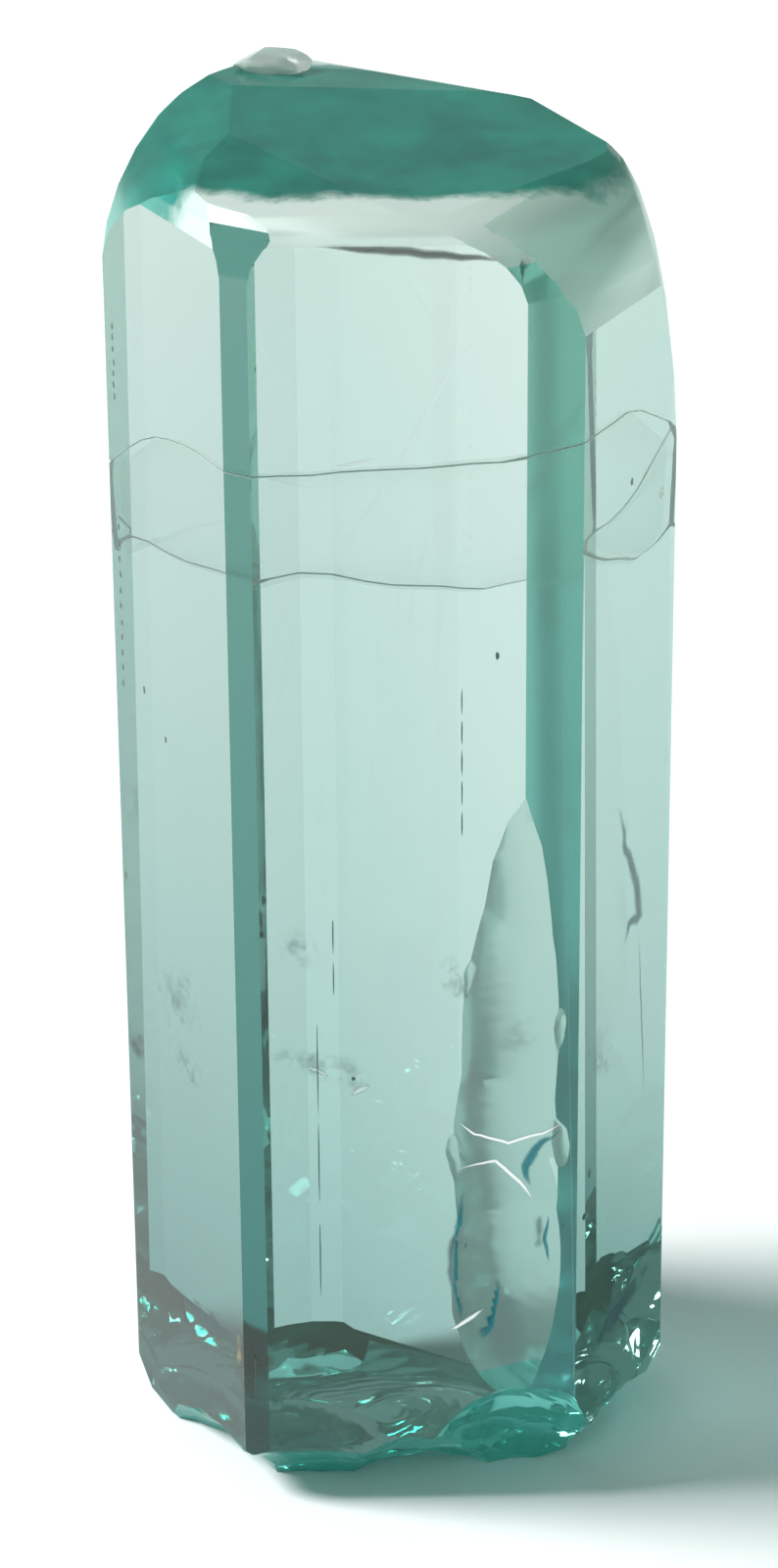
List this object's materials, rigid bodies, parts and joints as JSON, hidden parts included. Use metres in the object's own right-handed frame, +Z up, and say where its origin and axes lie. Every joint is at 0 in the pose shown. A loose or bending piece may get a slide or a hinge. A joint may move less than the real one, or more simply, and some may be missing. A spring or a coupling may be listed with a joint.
{
  "type": "aquamarine crystal",
  "caption": "Single clear blue-green beryl crystal, a tall faceted prism with a near-flat top, a chipped front edge and a broken base that it stands on.",
  "frame": {"origin": "middle of the broken base, on the surface the crystal stands on", "axes": "+Z up along the crystal's long axis, -Y out of its broad front face, +X to the right of that face"},
  "size_m": [0.018, 0.016, 0.0461],
  "materials": {
    "aquamarine": "polished"
  },
  "bodies": {
    "root": {"aquamarine_crystal": "aquamarine"}
  },
  "joints": []
}
